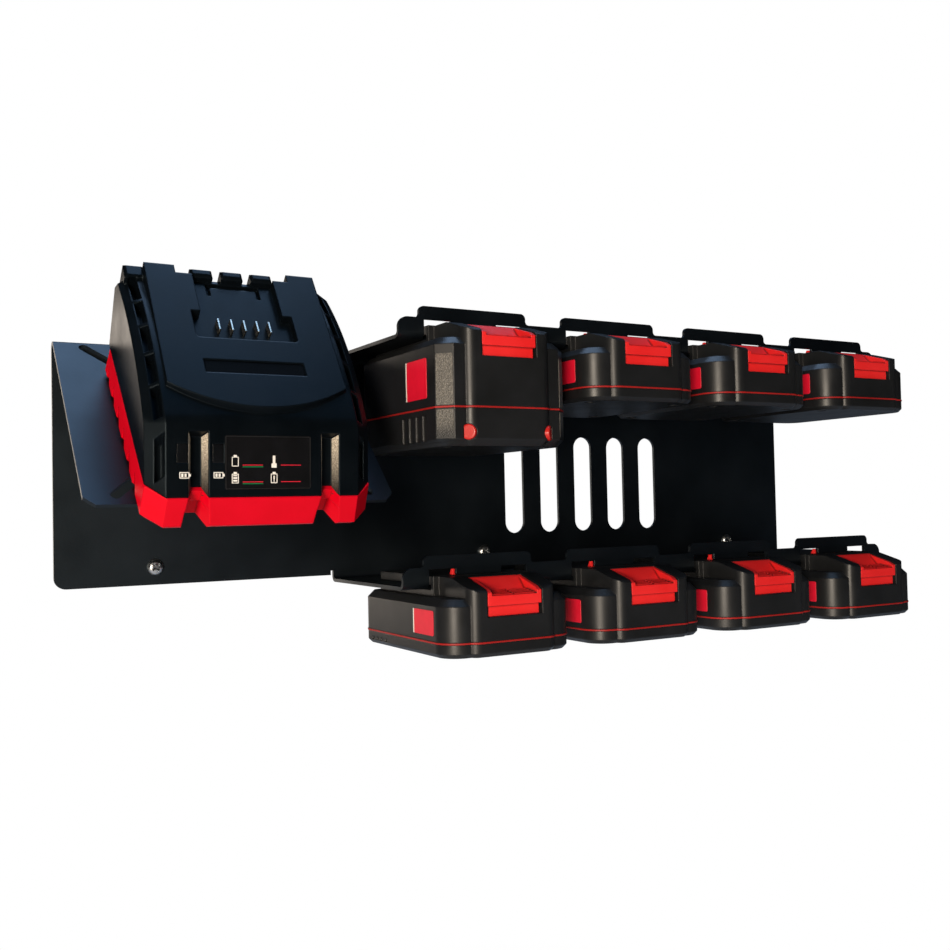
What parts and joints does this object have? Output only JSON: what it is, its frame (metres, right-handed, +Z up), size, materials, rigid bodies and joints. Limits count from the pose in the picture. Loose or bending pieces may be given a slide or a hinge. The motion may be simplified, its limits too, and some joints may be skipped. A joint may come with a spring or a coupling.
{
  "type": "battery charging station",
  "caption": "Bent sheet-steel wall rack: two shelves of slide-in tool batteries behind strap tabs, and a battery charger bolted to a sloping plate at the left.",
  "frame": {"origin": "centre of the back plate's wall face, half way between the two shelf tops", "axes": "+X to the right seen from the front, +Y into the wall, +Z up; the front is towards -Y"},
  "size_m": [0.508, 0.1309, 0.1949],
  "materials": {
    "rack_powder": "satin black powder coat",
    "base_red": "moulded red, semi-gloss",
    "shell_black": "moulded black, fine texture",
    "light_window": "smoked clear plastic, unlit",
    "contact_metal": "plated contact metal",
    "board_green": "lacquered circuit board",
    "coil_steel": "laminated core",
    "zinc": "bright zinc plate",
    "gland_rubber": "moulded black rubber",
    "case_black": "moulded black, satin",
    "trim_red": "moulded red rubber",
    "cell_can": "shrink-wrapped cell",
    "button_red": "moulded red, semi-gloss",
    "bumper_red": "moulded red rubber"
  },
  "bodies": {
    "root": {"rack": "rack_powder", "charger_base": "base_red", "charger_top_shell": "shell_black", "charger_light_windows": "light_window", "charger_terminal_blades": "contact_metal", "charger_circuit_board": "board_green", "charger_transformer": "coil_steel", "charger_mount_bolts": "zinc", "charger_mount_nuts": "zinc", "charger_cord_gland": "gland_rubber"},
    "battery_1": {"battery_1_top_case": "case_black", "battery_1_tray": "case_black", "battery_1_seam_band": "trim_red", "battery_1_cells": "cell_can", "battery_1_contacts": "contact_metal", "battery_1_bumpers": "bumper_red"},
    "button_1": {"battery_1_release_button": "button_red"},
    "battery_2": {"battery_2_top_case": "case_black", "battery_2_tray": "case_black", "battery_2_seam_band": "trim_red", "battery_2_cells": "cell_can", "battery_2_contacts": "contact_metal"},
    "button_2": {"battery_2_release_button": "button_red"},
    "battery_3": {"battery_3_top_case": "case_black", "battery_3_tray": "case_black", "battery_3_seam_band": "trim_red", "battery_3_cells": "cell_can", "battery_3_contacts": "contact_metal"},
    "button_3": {"battery_3_release_button": "button_red"},
    "battery_4": {"battery_4_top_case": "case_black", "battery_4_tray": "case_black", "battery_4_seam_band": "trim_red", "battery_4_cells": "cell_can", "battery_4_contacts": "contact_metal"},
    "button_4": {"battery_4_release_button": "button_red"},
    "battery_5": {"battery_5_top_case": "case_black", "battery_5_tray": "case_black", "battery_5_seam_band": "trim_red", "battery_5_cells": "cell_can", "battery_5_contacts": "contact_metal"},
    "button_5": {"battery_5_release_button": "button_red"},
    "battery_6": {"battery_6_top_case": "case_black", "battery_6_tray": "case_black", "battery_6_seam_band": "trim_red", "battery_6_cells": "cell_can", "battery_6_contacts": "contact_metal"},
    "button_6": {"battery_6_release_button": "button_red"},
    "battery_7": {"battery_7_top_case": "case_black", "battery_7_tray": "case_black", "battery_7_seam_band": "trim_red", "battery_7_cells": "cell_can", "battery_7_contacts": "contact_metal"},
    "button_7": {"battery_7_release_button": "button_red"},
    "battery_8": {"battery_8_top_case": "case_black", "battery_8_tray": "case_black", "battery_8_seam_band": "trim_red", "battery_8_cells": "cell_can", "battery_8_contacts": "contact_metal"},
    "button_8": {"battery_8_release_button": "button_red"}
  },
  "joints": [
    {"name": "battery_1_slide", "type": "slide", "parent": "root", "child": "battery_1", "axis": [0, -1, 0], "range_m": [0, 0.06]},
    {"name": "button_1_press", "type": "slide", "parent": "battery_1", "child": "button_1", "axis": [0, 0, -1], "range_m": [0, 0.0032], "stiffness_N_per_m": 900},
    {"name": "battery_2_slide", "type": "slide", "parent": "root", "child": "battery_2", "axis": [0, -1, 0], "range_m": [0, 0.06]},
    {"name": "button_2_press", "type": "slide", "parent": "battery_2", "child": "button_2", "axis": [0, 0, -1], "range_m": [0, 0.0032], "stiffness_N_per_m": 900},
    {"name": "battery_3_slide", "type": "slide", "parent": "root", "child": "battery_3", "axis": [0, -1, 0], "range_m": [0, 0.06]},
    {"name": "button_3_press", "type": "slide", "parent": "battery_3", "child": "button_3", "axis": [0, 0, -1], "range_m": [0, 0.0032], "stiffness_N_per_m": 900},
    {"name": "battery_4_slide", "type": "slide", "parent": "root", "child": "battery_4", "axis": [0, -1, 0], "range_m": [0, 0.06]},
    {"name": "button_4_press", "type": "slide", "parent": "battery_4", "child": "button_4", "axis": [0, 0, -1], "range_m": [0, 0.0032], "stiffness_N_per_m": 900},
    {"name": "battery_5_slide", "type": "slide", "parent": "root", "child": "battery_5", "axis": [0, -1, 0], "range_m": [0, 0.06]},
    {"name": "button_5_press", "type": "slide", "parent": "battery_5", "child": "button_5", "axis": [0, 0, -1], "range_m": [0, 0.0032], "stiffness_N_per_m": 900},
    {"name": "battery_6_slide", "type": "slide", "parent": "root", "child": "battery_6", "axis": [0, -1, 0], "range_m": [0, 0.06]},
    {"name": "button_6_press", "type": "slide", "parent": "battery_6", "child": "button_6", "axis": [0, 0, -1], "range_m": [0, 0.0032], "stiffness_N_per_m": 900},
    {"name": "battery_7_slide", "type": "slide", "parent": "root", "child": "battery_7", "axis": [0, -1, 0], "range_m": [0, 0.06]},
    {"name": "button_7_press", "type": "slide", "parent": "battery_7", "child": "button_7", "axis": [0, 0, -1], "range_m": [0, 0.0032], "stiffness_N_per_m": 900},
    {"name": "battery_8_slide", "type": "slide", "parent": "root", "child": "battery_8", "axis": [0, -1, 0], "range_m": [0, 0.06]},
    {"name": "button_8_press", "type": "slide", "parent": "battery_8", "child": "button_8", "axis": [0, 0, -1], "range_m": [0, 0.0032], "stiffness_N_per_m": 900}
  ]
}
